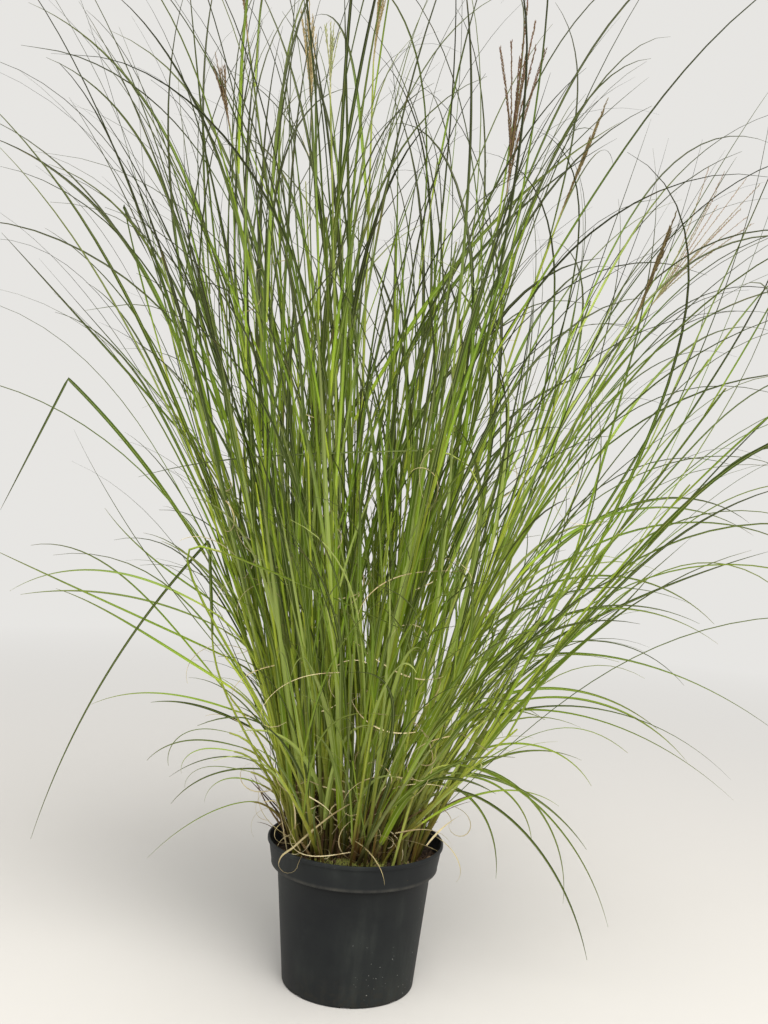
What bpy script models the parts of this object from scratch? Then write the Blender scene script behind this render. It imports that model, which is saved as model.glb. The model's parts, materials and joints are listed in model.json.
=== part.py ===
"""A clump of flowering ornamental grass in a round nursery pot, in metres.

The origin is the middle of the underside of the pot, and +Z runs up through the clump. The pot and
the compost are turned solids. Every culm, leaf blade, flower head and dead straw is a slim solid
of its own, swept along a path, and no two of them touch.
"""

import math

import bpy
import numpy as np

# Pot
POT_HEIGHT = 0.190
RIM_RADIUS = 0.1155
LIP_HEIGHT = 0.005
COLLAR_TOP_RADIUS = 0.1135
COLLAR_FOOT_RADIUS = 0.1090
COLLAR_HEIGHT = 0.035
BODY_TOP_RADIUS = 0.1010
BASE_RADIUS = 0.0865
WALL = 0.0016
FLOOR = 0.0048
RECESS = 0.0030
STEP_RISE = 0.0026
LIP_CREST_IN = 0.0030
LIP_CREST_OUT = 0.0008
EDGE = 0.0010
FOOT_RING_WIDTH = 0.0075
CENTRE_PAD_RADIUS = 0.032
TURNED_STEPS = 48

# Drain holes through the floor, and notches through the foot ring
DRAIN_COUNT = 8
DRAIN_RADIUS = 0.005
DRAIN_CIRCLE = 0.057
DRAIN_SIDES = 12
NOTCH_WIDTH = 0.012
NOTCH_HEIGHT = 0.0022

# Compost
SOIL_TOP = 0.172
SOIL_FALL = 0.004
GAP = 0.0005

# Culms
GOLDEN_ANGLE = math.radians(137.508)
CROWN_RADIUS = 0.078
UPRIGHT_LENGTH = 0.012
CULM_RADIUS = 0.0036
CULM_TIP_RADIUS = 0.0012
CULM_STATIONS = 8
CULM_BEND = 1.45
CULM_TURN = 6
CULM_TURNS = 11

# Leaf blades
BLADE_WIDTH = 0.0066
BLADE_THICKNESS = 0.0011
KEEL_DEPTH = 0.0009
BLADE_STATIONS = 9
SHEATH_SHARE = 0.72
WIDENING = 1.4
TAPER_POWER = 2.4
LEAST_SHARE = 0.14
STRAW_SHARE = 0.8
CLEARANCE = 0.0016
SAMPLE_STEP = 0.004
OWN_CULM_REACH = 0.045

# Where each flowering culm ends, then how long, how wide and how far over its flower head is.
FLOWERING = (
    ((-0.20, -0.12, 1.07), 0.08, 0.010, 5),
    ((-0.12, 0.08, 1.14), 0.18, 0.015, -5),
    ((-0.08, -0.16, 1.10), 0.08, 0.008, -10),
    ((-0.04, 0.06, 1.22), 0.14, 0.012, -20),
    ((-0.21, 0.06, 1.24), 0.10, 0.010, -5),
    ((0.14, -0.05, 1.03), 0.24, 0.040, -15),
    ((0.24, 0.18, 1.06), 0.20, 0.013, 5),
    ((0.28, -0.20, 0.86), 0.12, 0.012, -20),
    ((0.36, 0.10, 0.92), 0.24, 0.036, 10),
)

# Leafy culms, which end among the leaves
LEAFY_COUNT = 11
LEAFY_SPREAD = 0.290
LEAFY_HEIGHT = 0.960
LEAFY_DROP = 0.360
LEAFY_FIRST_BEARING = 0.6
MEAN_LEAN_X = 0.045

# Flower heads
PANICLE_STATIONS = 8
FULLEST_POWER = 0.7
SWELL_POWER = 0.8

# The longest blades: culm, how far up it leaves, turn from the culm's own bearing in degrees,
# length, and how far over the tip hangs in degrees
BLADES = (
    (0, 0.42, -12, 0.60, 96),
    (0, 0.72, 30, 0.46, 84),
    (1, 0.66, -20, 0.60, 100),
    (2, 0.60, -18, 0.58, 112),
    (3, 0.56, 24, 0.62, 104),
    (4, 0.62, 10, 0.58, 88),
    (5, 0.52, -40, 0.66, 112),
    (6, 0.55, 20, 0.66, 100),
    (7, 0.50, -16, 0.60, 94),
    (7, 0.80, 24, 0.40, 104),
    (8, 0.38, -14, 0.52, 112),
    (8, 0.66, 16, 0.42, 100),
    (9, 0.55, 0, 0.66, 104),
    (10, 0.55, 20, 0.70, 92),
    (11, 0.45, -10, 0.66, 110),
    (12, 0.56, 14, 0.60, 100),
    (13, 0.42, 0, 0.66, 112),
    (14, 0.54, -22, 0.56, 96),
    (15, 0.50, 10, 0.58, 112),
    (16, 0.50, -8, 0.46, 104),
    (17, 0.48, 20, 0.54, 118),
    (18, 0.58, 0, 0.60, 104),
    (19, 0.50, -12, 0.50, 118),
    (2, 0.84, 40, 0.44, 70),
    (5, 0.84, 35, 0.42, 60),
)
BLADE_BEND = 1.7
BLADE_OPENING = 10
BLADE_TURN = 5
BLADE_TURNS = 40

# Dead straw over the rim and the compost, as points of its path
STRAWS = (
    (
        (0.000, -0.090, 0.265),
        (-0.030, -0.095, 0.245),
        (-0.055, -0.105, 0.225),
        (-0.075, -0.105, 0.205),
        (-0.090, -0.100, 0.190),
    ),
    (
        (-0.086, -0.052, 0.180),
        (-0.091, -0.055, 0.204),
        (-0.097, -0.060, 0.232),
        (-0.105, -0.068, 0.250),
        (-0.118, -0.080, 0.252),
    ),
    (
        (0.080, -0.014, 0.178),
        (0.088, -0.016, 0.206),
        (0.097, -0.018, 0.236),
        (0.112, -0.022, 0.252),
        (0.130, -0.027, 0.246),
    ),
)

# Colours
CHARCOAL = (0.030, 0.033, 0.038)
PEAT = (0.070, 0.043, 0.026)
LIME = (0.46, 0.56, 0.10)
GRASS_GREEN = (0.17, 0.27, 0.05)
RED_BROWN = (0.27, 0.10, 0.06)
STRAW = (0.66, 0.53, 0.30)


def clear_scene():
    for thing in list(bpy.data.objects):
        bpy.data.objects.remove(thing, do_unlink=True)


def material(name, colour, roughness):
    made = bpy.data.materials.new(name)
    made.use_nodes = True
    shader = made.node_tree.nodes["Principled BSDF"]
    shader.inputs["Base Color"].default_value = (*colour, 1.0)
    shader.inputs["Roughness"].default_value = roughness
    shader.inputs["Metallic"].default_value = 0.0
    return made


def place(name, data, finish):
    """An object of this name in the scene, in this finish."""
    thing = bpy.data.objects.new(name, data)
    bpy.context.scene.collection.objects.link(thing)
    if finish is not None:
        data.materials.append(finish)
    return thing


def turned(name, profile, finish):
    """A profile of radius and height, turned about Z. It runs from the axis out, over and down."""
    mesh = bpy.data.meshes.new(name)
    ends = [(i, i + 1) for i in range(len(profile) - 1)]
    mesh.from_pydata([(radius, 0.0, height) for radius, height in profile], ends, [])
    thing = place(name, mesh, finish)
    screw = thing.modifiers.new("Turn", "SCREW")
    screw.steps = TURNED_STEPS
    screw.render_steps = TURNED_STEPS
    screw.use_merge_vertices = True
    screw.merge_threshold = 0.00001
    screw.use_smooth_shade = True
    return thing


def body_radius(height):
    """The outside radius of the tapered wall below the collar."""
    return BASE_RADIUS + (BODY_TOP_RADIUS - BASE_RADIUS) * height / (POT_HEIGHT - COLLAR_HEIGHT)


def collar_radius(height):
    """The outside radius of the collar between its foot and the lip."""
    part = (height - POT_HEIGHT + COLLAR_HEIGHT) / (COLLAR_HEIGHT - LIP_HEIGHT)
    return COLLAR_FOOT_RADIUS + (COLLAR_TOP_RADIUS - COLLAR_FOOT_RADIUS) * part


def hide(cutter):
    cutter.hide_render = True
    cutter.display_type = "WIRE"


def drain_cutter(index):
    """A round hole through the floor, between the centre pad and the foot ring."""
    angle = math.tau * (index + 0.5) / DRAIN_COUNT
    at = (DRAIN_CIRCLE * math.cos(angle), DRAIN_CIRCLE * math.sin(angle), FLOOR / 2)
    bpy.ops.mesh.primitive_cylinder_add(
        vertices=DRAIN_SIDES, radius=DRAIN_RADIUS, depth=3 * FLOOR, location=at
    )
    return bpy.context.active_object


def notch_cutter(index):
    """A slot through the foot ring, so that water runs out from under the floor."""
    angle = math.tau * index / DRAIN_COUNT - math.pi / 2
    middle = BASE_RADIUS - FOOT_RING_WIDTH / 2
    at = (middle * math.cos(angle), middle * math.sin(angle), 0.0)
    bpy.ops.mesh.primitive_cube_add(size=1.0, location=at, rotation=(0.0, 0.0, angle))
    cutter = bpy.context.active_object
    cutter.scale = (3 * FOOT_RING_WIDTH, NOTCH_WIDTH, 2 * NOTCH_HEIGHT)
    return cutter


def make_pot(finish):
    collar_foot = POT_HEIGHT - COLLAR_HEIGHT
    lip_foot = POT_HEIGHT - LIP_HEIGHT
    profile = [
        (0.0, FLOOR),
        (body_radius(FLOOR) - WALL - EDGE, FLOOR),
        (body_radius(FLOOR) - WALL, FLOOR + EDGE),
        (BODY_TOP_RADIUS - WALL, collar_foot),
        (BODY_TOP_RADIUS - WALL + EDGE / 2, collar_foot + WALL),
        (COLLAR_FOOT_RADIUS - WALL, collar_foot + STEP_RISE),
        (COLLAR_TOP_RADIUS - WALL, lip_foot),
        (RIM_RADIUS - LIP_CREST_IN, POT_HEIGHT - EDGE / 2),
        (RIM_RADIUS - LIP_CREST_IN + LIP_CREST_OUT, POT_HEIGHT),
        (RIM_RADIUS - LIP_CREST_OUT, POT_HEIGHT),
        (RIM_RADIUS, POT_HEIGHT - EDGE),
        (RIM_RADIUS, lip_foot + EDGE),
        (RIM_RADIUS - EDGE / 2, lip_foot),
        (COLLAR_TOP_RADIUS, lip_foot - EDGE / 2),
        (COLLAR_FOOT_RADIUS, collar_foot + EDGE),
        (COLLAR_FOOT_RADIUS - EDGE, collar_foot),
        (BODY_TOP_RADIUS + EDGE / 2, collar_foot - EDGE / 2),
        (BODY_TOP_RADIUS, collar_foot - 3 * EDGE),
        (body_radius(3 * EDGE), 3 * EDGE),
        (BASE_RADIUS - EDGE, 0.0),
        (BASE_RADIUS - FOOT_RING_WIDTH, 0.0),
        (BASE_RADIUS - FOOT_RING_WIDTH - EDGE, RECESS),
        (CENTRE_PAD_RADIUS + EDGE, RECESS),
        (CENTRE_PAD_RADIUS, 0.0),
        (0.0, 0.0),
    ]
    pot = turned("pot", profile, finish)
    for index in range(DRAIN_COUNT):
        for cutter in (drain_cutter(index), notch_cutter(index)):
            hide(cutter)
            cut = pot.modifiers.new("Cut", "BOOLEAN")
            cut.operation = "DIFFERENCE"
            cut.object = cutter
    return pot


def make_compost(finish):
    """The mix, which fills the pot and is flat where the culms stand."""
    collar_foot = POT_HEIGHT - COLLAR_HEIGHT
    inside = WALL + GAP
    profile = [
        (0.0, SOIL_TOP),
        (CROWN_RADIUS + 4 * CULM_RADIUS, SOIL_TOP),
        (CROWN_RADIUS + 6 * CULM_RADIUS, SOIL_TOP - SOIL_FALL / 4),
        (collar_radius(SOIL_TOP - SOIL_FALL) - inside, SOIL_TOP - SOIL_FALL),
        (COLLAR_FOOT_RADIUS - inside, collar_foot + STEP_RISE + GAP),
        (BODY_TOP_RADIUS - inside, collar_foot + WALL + GAP),
        (BODY_TOP_RADIUS - inside, collar_foot),
        (body_radius(FLOOR) - inside, FLOOR + 2 * EDGE),
        (body_radius(FLOOR) - inside - 2 * EDGE, FLOOR + GAP),
        (0.0, FLOOR + GAP),
    ]
    return turned("compost", profile, finish)


def swept(name, points, radii, finish, section=None):
    """A solid along a path: round, or of the section given."""
    curve = bpy.data.curves.new(name, "CURVE")
    curve.dimensions = "3D"
    curve.use_fill_caps = True
    curve.twist_mode = "Z_UP"
    if section is None:
        curve.bevel_depth = 1.0
        curve.bevel_resolution = 1
    else:
        curve.bevel_mode = "OBJECT"
        curve.bevel_object = section
    line = curve.splines.new("POLY")
    line.points.add(len(points) - 1)
    for point, at, radius in zip(line.points, points, radii):
        point.co = (*at, 1.0)
        point.radius = radius
    line.use_smooth = True
    return place(name, curve, finish)


def blade_section():
    """Half a unit wide each way: a shallow V, with its keel below."""
    curve = bpy.data.curves.new("blade_section", "CURVE")
    curve.dimensions = "2D"
    curve.fill_mode = "NONE"
    line = curve.splines.new("POLY")
    half = BLADE_WIDTH / 2
    corners = (
        (-half, KEEL_DEPTH),
        (0.0, BLADE_THICKNESS / 2),
        (half, KEEL_DEPTH),
        (0.0, -BLADE_THICKNESS / 2),
    )
    line.points.add(len(corners) - 1)
    for point, at in zip(line.points, corners):
        point.co = (*at, 0.0, 1.0)
    line.use_cyclic_u = True
    section = place("blade_section", curve, None)
    hide(section)
    return section


def blade_scale(count):
    """How wide a blade is at each station: narrower at the sheath, and drawn out to a point."""
    along = np.linspace(0.0, 1.0, count)
    swell = (SHEATH_SHARE + WIDENING * along) * (1.0 - along**TAPER_POWER)
    return np.clip(swell, LEAST_SHARE, 1.0)


def culm_path(base, top):
    """Straight up out of the crown, then further and further over to its top."""
    share = np.linspace(0.0, 1.0, CULM_STATIONS)
    foot = np.array([base[0], base[1], SOIL_TOP + GAP])
    raised = foot + (0.0, 0.0, UPRIGHT_LENGTH)
    path = np.empty((CULM_STATIONS, 3))
    path[:, :2] = raised[:2] + np.outer(share**CULM_BEND, np.subtract(top[:2], base))
    path[:, 2] = raised[2] + share * (top[2] - raised[2])
    return np.vstack([foot, path])


def along_path(path, share):
    """The point this share of the way along a path, and the path's direction there."""
    steps = np.linalg.norm(np.diff(path, axis=0), axis=1)
    run = np.concatenate([[0.0], np.cumsum(steps)])
    goal = share * run[-1]
    index = min(int(np.searchsorted(run, goal, side="right")) - 1, len(steps) - 1)
    direction = (path[index + 1] - path[index]) / steps[index]
    return path[index] + direction * (goal - run[index]), direction


def arch(start, bearing, first_lean, last_lean, length):
    """A blade's path, which leans further from upright as it goes."""
    step = length / (BLADE_STATIONS - 1)
    path = [np.array(start)]
    for index in range(BLADE_STATIONS - 1):
        share = (index + 0.5) / (BLADE_STATIONS - 1)
        lean = first_lean + (last_lean - first_lean) * share**BLADE_BEND
        across = math.sin(lean)
        step_to = (across * math.cos(bearing), across * math.sin(bearing), math.cos(lean))
        path.append(path[-1] + step * np.array(step_to))
    return np.array(path)


def sampled(path):
    """Points close together all along a path."""
    pieces = []
    for first, last in zip(path[:-1], path[1:]):
        count = max(2, math.ceil(np.linalg.norm(last - first) / SAMPLE_STEP))
        share = np.linspace(0.0, 1.0, count, endpoint=False)[:, None]
        pieces.append(first + share * (last - first))
    pieces.append(path[-1:])
    return np.vstack(pieces)


class Standing:
    """The paths already in place, which a new one has to stay clear of."""

    def __init__(self):
        self.paths = {}

    def add(self, name, path, reach):
        self.paths[name] = (sampled(path), reach)

    def clears(self, path, reach, own=None):
        points = sampled(path)
        for name, (others, their_reach) in self.paths.items():
            start = int(OWN_CULM_REACH / SAMPLE_STEP) if name == own else 0
            gaps = np.linalg.norm(points[start:, None] - others[None], axis=2)
            if gaps.min() < reach + their_reach + CLEARANCE:
                return False
        return True


def first_clear(standing, made, reach, own=None):
    """The first of these paths that stands clear of all that is in place."""
    for path in made:
        if standing.clears(path, reach, own):
            return path
    raise ValueError("no room left for this piece")


def crown_point(top, order, count):
    """Where a culm stands: under its own top, spread over the crown in a sunflower's order."""
    radius = CROWN_RADIUS * math.sqrt((order + 0.5) / count)
    bearing = math.atan2(top[1], top[0] - MEAN_LEAN_X)
    return (radius * math.cos(bearing), radius * math.sin(bearing))


def either_way(step, count):
    """Turns in degrees: none, then one way and the other, further each time."""
    return [(index + 1) // 2 * (step if index % 2 else -step) for index in range(count)]


def about_crown(base, turn):
    angle = math.radians(turn)
    return (
        base[0] * math.cos(angle) - base[1] * math.sin(angle),
        base[0] * math.sin(angle) + base[1] * math.cos(angle),
    )


def leafy_top(index):
    """The top of a leafy culm: the outer ones lean further and end lower."""
    out = math.sqrt((index + 0.5) / LEAFY_COUNT)
    bearing = index * GOLDEN_ANGLE + LEAFY_FIRST_BEARING
    return (
        MEAN_LEAN_X + LEAFY_SPREAD * out * math.cos(bearing),
        LEAFY_SPREAD * out * math.sin(bearing),
        LEAFY_HEIGHT - LEAFY_DROP * out**2,
    )


def make_culms(standing, finish):
    """All the culms, each turned about the crown's middle until it stands clear of the others."""
    tops = [top for top, _, _, _ in FLOWERING]
    tops += [leafy_top(index) for index in range(LEAFY_COUNT)]
    reach_out = [math.hypot(top[0] - MEAN_LEAN_X, top[1]) for top in tops]
    order = {index: place for place, index in enumerate(np.argsort(reach_out))}
    paths = []
    for index, top in enumerate(tops):
        base = crown_point(top, order[index], len(tops))
        made = (culm_path(about_crown(base, turn), top) for turn in either_way(CULM_TURN, CULM_TURNS))
        path = first_clear(standing, made, CULM_RADIUS)
        name = f"culm_{index + 1:02d}"
        standing.add(name, path, CULM_RADIUS)
        radii = np.linspace(CULM_RADIUS, CULM_TIP_RADIUS, len(path))
        swept(name, path, radii, finish)
        paths.append(path)
    return paths


def make_panicles(standing, culms, finish):
    """The flower heads, each just clear of the end of its own culm."""
    for index, (_, length, width, lean) in enumerate(FLOWERING):
        end = culms[index][-1]
        heading = (end - culms[index][-2]) / np.linalg.norm(end - culms[index][-2])
        share = np.linspace(0.0, 1.0, PANICLE_STATIONS)
        bearing = math.atan2(heading[1], heading[0])
        first = math.acos(heading[2])
        path = [end + heading * GAP]
        for part in share[1:]:
            angle = first + math.radians(lean) * part
            across = math.sin(angle)
            way = np.array([across * math.cos(bearing), across * math.sin(bearing), math.cos(angle)])
            path.append(path[-1] + way * length / (PANICLE_STATIONS - 1))
        path = np.array(path)
        swell = np.sin(np.pi * share**FULLEST_POWER) ** SWELL_POWER
        radii = CULM_TIP_RADIUS + (width - CULM_TIP_RADIUS) * swell
        swept(f"panicle_{index + 1}", path, radii, finish)
        standing.add(f"panicle_{index + 1}", path, width)


def hung(at, heading, bearing, last, length):
    """A blade that leaves its culm's side here, and hangs over on this bearing."""
    away = np.array([math.cos(bearing), math.sin(bearing), 0.0])
    across = away - heading * np.dot(away, heading)
    across /= np.linalg.norm(across)
    start = at + across * (CULM_RADIUS + BLADE_THICKNESS + GAP)
    first = math.acos(heading[2]) + math.radians(BLADE_OPENING)
    return arch(start, bearing, first, math.radians(last), length)


def make_blades(standing, culms, section, finish):
    """The long blades, each turned until it hangs clear of everything already in place."""
    half = BLADE_WIDTH / 2
    for index, (culm, share, turn, length, last) in enumerate(BLADES):
        path = culms[culm]
        at, heading = along_path(path, share)
        bearing = math.atan2(path[-1][1] - path[0][1], path[-1][0] - path[0][0])
        made = (
            hung(at, heading, bearing + math.radians(turn + more), last, length)
            for more in either_way(BLADE_TURN, BLADE_TURNS)
        )
        blade = first_clear(standing, made, half, own=f"culm_{culm + 1:02d}")
        name = f"leaf_{index + 1:02d}"
        swept(name, blade, blade_scale(len(blade)), finish, section)
        standing.add(name, blade, half)


def make_straws(standing, section, finish):
    for index, points in enumerate(STRAWS):
        path = first_clear(standing, [np.array(points)], STRAW_SHARE * BLADE_WIDTH / 2)
        name = f"straw_{index + 1}"
        swept(name, path, STRAW_SHARE * blade_scale(len(path)), finish, section)
        standing.add(name, path, STRAW_SHARE * BLADE_WIDTH / 2)


def main():
    clear_scene()
    make_pot(material("pot_plastic", CHARCOAL, 0.55))
    make_compost(material("compost", PEAT, 0.95))
    section = blade_section()
    standing = Standing()
    culms = make_culms(standing, material("culm", LIME, 0.5))
    make_panicles(standing, culms, material("panicle", RED_BROWN, 0.8))
    make_blades(standing, culms, section, material("leaf_blade", GRASS_GREEN, 0.45))
    make_straws(standing, section, material("dry_straw", STRAW, 0.7))


main()
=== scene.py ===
import json
import math

import bpy
import numpy as np
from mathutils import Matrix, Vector, noise

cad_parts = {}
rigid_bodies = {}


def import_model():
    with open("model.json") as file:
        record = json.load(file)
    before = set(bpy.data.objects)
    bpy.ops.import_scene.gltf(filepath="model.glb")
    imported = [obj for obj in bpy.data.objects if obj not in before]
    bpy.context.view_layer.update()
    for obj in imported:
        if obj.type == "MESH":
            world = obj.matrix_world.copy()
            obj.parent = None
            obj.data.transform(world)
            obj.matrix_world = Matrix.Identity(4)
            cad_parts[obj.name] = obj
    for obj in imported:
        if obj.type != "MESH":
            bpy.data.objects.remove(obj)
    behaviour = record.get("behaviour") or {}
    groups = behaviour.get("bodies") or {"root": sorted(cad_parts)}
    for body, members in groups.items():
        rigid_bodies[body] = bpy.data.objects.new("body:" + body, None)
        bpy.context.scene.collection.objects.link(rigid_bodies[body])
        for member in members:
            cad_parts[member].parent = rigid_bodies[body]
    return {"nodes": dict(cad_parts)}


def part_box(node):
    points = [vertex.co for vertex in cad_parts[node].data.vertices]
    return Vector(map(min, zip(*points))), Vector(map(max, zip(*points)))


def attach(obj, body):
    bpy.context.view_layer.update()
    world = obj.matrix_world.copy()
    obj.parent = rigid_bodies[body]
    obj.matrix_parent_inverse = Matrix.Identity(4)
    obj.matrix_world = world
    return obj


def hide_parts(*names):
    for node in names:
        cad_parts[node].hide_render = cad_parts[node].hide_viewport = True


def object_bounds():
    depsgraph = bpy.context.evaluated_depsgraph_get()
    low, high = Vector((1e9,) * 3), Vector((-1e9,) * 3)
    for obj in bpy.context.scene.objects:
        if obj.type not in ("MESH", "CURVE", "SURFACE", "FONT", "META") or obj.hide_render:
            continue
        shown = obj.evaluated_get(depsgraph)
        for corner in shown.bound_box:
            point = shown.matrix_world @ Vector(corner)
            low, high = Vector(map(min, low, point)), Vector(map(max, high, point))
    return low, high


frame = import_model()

cad_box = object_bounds()

# A clump of ornamental grass in a nursery pot. Sizes are in metres. The pot, the compost and the
# first twenty culms stand where the frame has them, and the rest of the clump grows around those.

# ---------------------------------------------------------------- driving sizes
POT_LOW, POT_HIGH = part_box("pot")
RIM_RADIUS = POT_HIGH.x
POT_HEIGHT = POT_HIGH.z
COLLAR_HEIGHT = 0.035
COLLAR_FOOT = POT_HEIGHT - COLLAR_HEIGHT
COLLAR_TOP_RADIUS = RIM_RADIUS - 0.0020
COLLAR_FOOT_RADIUS = RIM_RADIUS - 0.0065
BODY_TOP_RADIUS = RIM_RADIUS - 0.0145
BASE_RADIUS = RIM_RADIUS - 0.0290
LIP_HEIGHT = 0.005
WALL = 0.0016
FLOOR = 0.0048
SOIL_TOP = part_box("compost")[1].z
ROUND_STEPS = 128
DRAIN_COUNT = 8
DRAIN_CIRCLE = 0.057
DRAIN_RADIUS = 0.005
NOTCH_CIRCLE = 0.0828
NOTCH_SIZE = (0.0225, 0.012, 0.0044)

GOLDEN_ANGLE = math.radians(137.508)
CROWN_RADIUS = 0.082
CULM_BEND = 1.18

DRAWS = np.random.default_rng(37)

UP = np.array([0.0, 0.0, 1.0])


# ---------------------------------------------------------------- small helpers
def deselect():
    for thing in bpy.context.view_layer.objects:
        thing.select_set(False)


def only(thing):
    """Makes this the one selected object, and the active one."""
    deselect()
    thing.select_set(True)
    bpy.context.view_layer.objects.active = thing


def finished(piece, slot, finish, *nodes):
    """Dresses a finished piece and hangs it on the frame."""
    piece.data.materials.clear()
    piece.data.materials.append(finish)
    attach(piece, "root")
    if nodes:
        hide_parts(*nodes)
    return piece


def apply_modifiers(thing):
    only(thing)
    for modifier in list(thing.modifiers):
        bpy.ops.object.modifier_apply(modifier=modifier.name)


# ---------------------------------------------------------------- materials
def node_material(name):
    made = bpy.data.materials.new(name)
    made.use_nodes = True
    return made, made.node_tree, made.node_tree.nodes["Principled BSDF"]


def add(tree, kind, **settings):
    node = tree.nodes.new(kind)
    for key, value in settings.items():
        setattr(node, key, value)
    return node


def math_node(tree, operation, first, second=None, clamp=False):
    node = add(tree, "ShaderNodeMath", operation=operation, use_clamp=clamp)
    for socket, value in zip(node.inputs, (first, second)):
        if value is None:
            continue
        if isinstance(value, (int, float)):
            socket.default_value = value
        else:
            tree.links.new(value, socket)
    return node.outputs[0]


def ramp(tree, source, *stops):
    """Colours or greys between places from 0 to 1."""
    node = add(tree, "ShaderNodeValToRGB")
    tree.links.new(source, node.inputs[0])
    elements = node.color_ramp.elements
    while len(elements) < len(stops):
        elements.new(0.5)
    for element, (place, colour) in zip(elements, stops):
        element.position = place
        element.color = (*colour, 1.0) if isinstance(colour, tuple) else (colour, colour, colour, 1.0)
    return node.outputs[0]


def mixed(tree, factor, first, second, blend="MIX"):
    node = add(tree, "ShaderNodeMix", data_type="RGBA", blend_type=blend, clamp_factor=True)
    for socket, value in ((node.inputs[0], factor), (node.inputs[6], first), (node.inputs[7], second)):
        if isinstance(value, tuple):
            socket.default_value = (*value, 1.0)
        elif isinstance(value, (int, float)):
            socket.default_value = value
        else:
            tree.links.new(value, socket)
    return node.outputs[2]


def times(tree, first, second):
    return math_node(tree, "MULTIPLY", first, second)


def between(tree, source, low, high):
    """0 below low, 1 above high."""
    node = add(tree, "ShaderNodeMapRange", clamp=True)
    tree.links.new(source, node.inputs["Value"])
    node.inputs["From Min"].default_value = low
    node.inputs["From Max"].default_value = high
    return node.outputs["Result"]


def falling(tree, source, low, high):
    """1 below the low value, falling to 0 at the high one."""
    return math_node(tree, "SUBTRACT", 1.0, between(tree, source, low, high))


def object_place(tree):
    """Where a point lies on the object, whole and as its height."""
    where = add(tree, "ShaderNodeTexCoord").outputs["Object"]
    split = add(tree, "ShaderNodeSeparateXYZ")
    tree.links.new(where, split.inputs[0])
    return where, split.outputs[2]


def cloudy(tree, where, scale, detail=4.0, roughness=0.55, stretch=(1.0, 1.0, 1.0)):
    mapping = add(tree, "ShaderNodeMapping")
    mapping.inputs["Scale"].default_value = stretch
    tree.links.new(where, mapping.inputs[0])
    node = add(tree, "ShaderNodeTexNoise")
    node.inputs["Scale"].default_value = scale
    node.inputs["Detail"].default_value = detail
    node.inputs["Roughness"].default_value = roughness
    tree.links.new(mapping.outputs[0], node.inputs["Vector"])
    return node.outputs["Fac"]


def bump(tree, shader, height, strength, distance):
    node = add(tree, "ShaderNodeBump")
    node.inputs["Strength"].default_value = strength
    node.inputs["Distance"].default_value = distance
    tree.links.new(height, node.inputs["Height"])
    tree.links.new(node.outputs[0], shader.inputs["Normal"])


def dressed(tree, shader, colour, roughness, specular=0.5):
    tree.links.new(colour, shader.inputs["Base Color"])
    shader.inputs["Roughness"].default_value = roughness
    shader.inputs["Specular IOR Level"].default_value = specular


def strand_inputs(tree):
    """How far across and along its strand a point is, and the strand's own three chances."""
    uv = add(tree, "ShaderNodeUVMap", uv_map="strand")
    split = add(tree, "ShaderNodeSeparateXYZ")
    tree.links.new(uv.outputs[0], split.inputs[0])
    tint = add(tree, "ShaderNodeAttribute", attribute_name="tint")
    chances = add(tree, "ShaderNodeSeparateColor")
    tree.links.new(tint.outputs["Color"], chances.inputs[0])
    return split.outputs[0], split.outputs[1], chances.outputs


def plastic_material():
    made, tree, shader = node_material("dusty_charcoal_plastic")
    where, height = object_place(tree)
    broad = cloudy(tree, where, 9.0, 5.0)
    fine = cloudy(tree, where, 160.0, 6.0, 0.7)
    streaks = cloudy(tree, where, 40.0, 5.0, 0.6, (1.0, 1.0, 0.16))
    base = mixed(tree, between(tree, broad, 0.35, 0.7), (0.0095, 0.0110, 0.0125), (0.0190, 0.0220, 0.0215))
    dust = times(tree, between(tree, streaks, 0.48, 0.80), between(tree, broad, 0.40, 0.62))
    dust = times(tree, dust, 0.55)
    colour = mixed(tree, dust, base, (0.050, 0.056, 0.050))
    collar_edge = math_node(tree, "ABSOLUTE", math_node(tree, "SUBTRACT", height, COLLAR_FOOT + 0.0022))
    edge_dust = falling(tree, collar_edge, 0.0, 0.0032)
    edge_dust = times(tree, edge_dust, between(tree, streaks, 0.30, 0.62))
    colour = mixed(tree, times(tree, edge_dust, 0.55), colour, (0.085, 0.080, 0.068))
    # Painted shade: a near-black band on the body just under the collar's overhang, where the collar's
    # shadow falls.
    below = math_node(tree, "SUBTRACT", COLLAR_FOOT, height)
    under = falling(tree, below, 0.0005, 0.0080)
    under = times(tree, under, between(tree, below, -0.0005, 0.0005))
    colour = mixed(tree, times(tree, under, 0.75), colour, (0.0022, 0.0024, 0.0026))
    specks = between(tree, cloudy(tree, where, 420.0, 1.0, 0.4), 0.755, 0.79)
    specks = times(tree, specks, between(tree, broad, 0.52, 0.60))
    colour = mixed(tree, specks, colour, (0.42, 0.42, 0.40))
    mud = falling(tree, height, 0.0, 0.045)
    mud = times(tree, mud, between(tree, fine, 0.46, 0.62))
    colour = mixed(tree, times(tree, mud, 0.5), colour, (0.030, 0.025, 0.018))
    tree.links.new(colour, shader.inputs["Base Color"])
    rough = ramp(tree, broad, (0.3, 0.50), (0.75, 0.66))
    tree.links.new(rough, shader.inputs["Roughness"])
    shader.inputs["Specular IOR Level"].default_value = 0.16
    bump(tree, shader, fine, 0.18, 0.0004)
    return made


def compost_material():
    made, tree, shader = node_material("peat_mix")
    where, _ = object_place(tree)
    lumps = cloudy(tree, where, 130.0, 6.0, 0.7)
    fine = cloudy(tree, where, 520.0, 4.0, 0.7)
    colour = ramp(
        tree, lumps, (0.30, (0.008, 0.005, 0.003)), (0.52, (0.035, 0.020, 0.011)),
        (0.72, (0.095, 0.058, 0.032)),
    )
    colour = mixed(tree, between(tree, fine, 0.62, 0.72), colour, (0.17, 0.12, 0.07))
    dressed(tree, shader, colour, 0.95, 0.2)
    bump(tree, shader, lumps, 0.9, 0.002)
    return made


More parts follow.
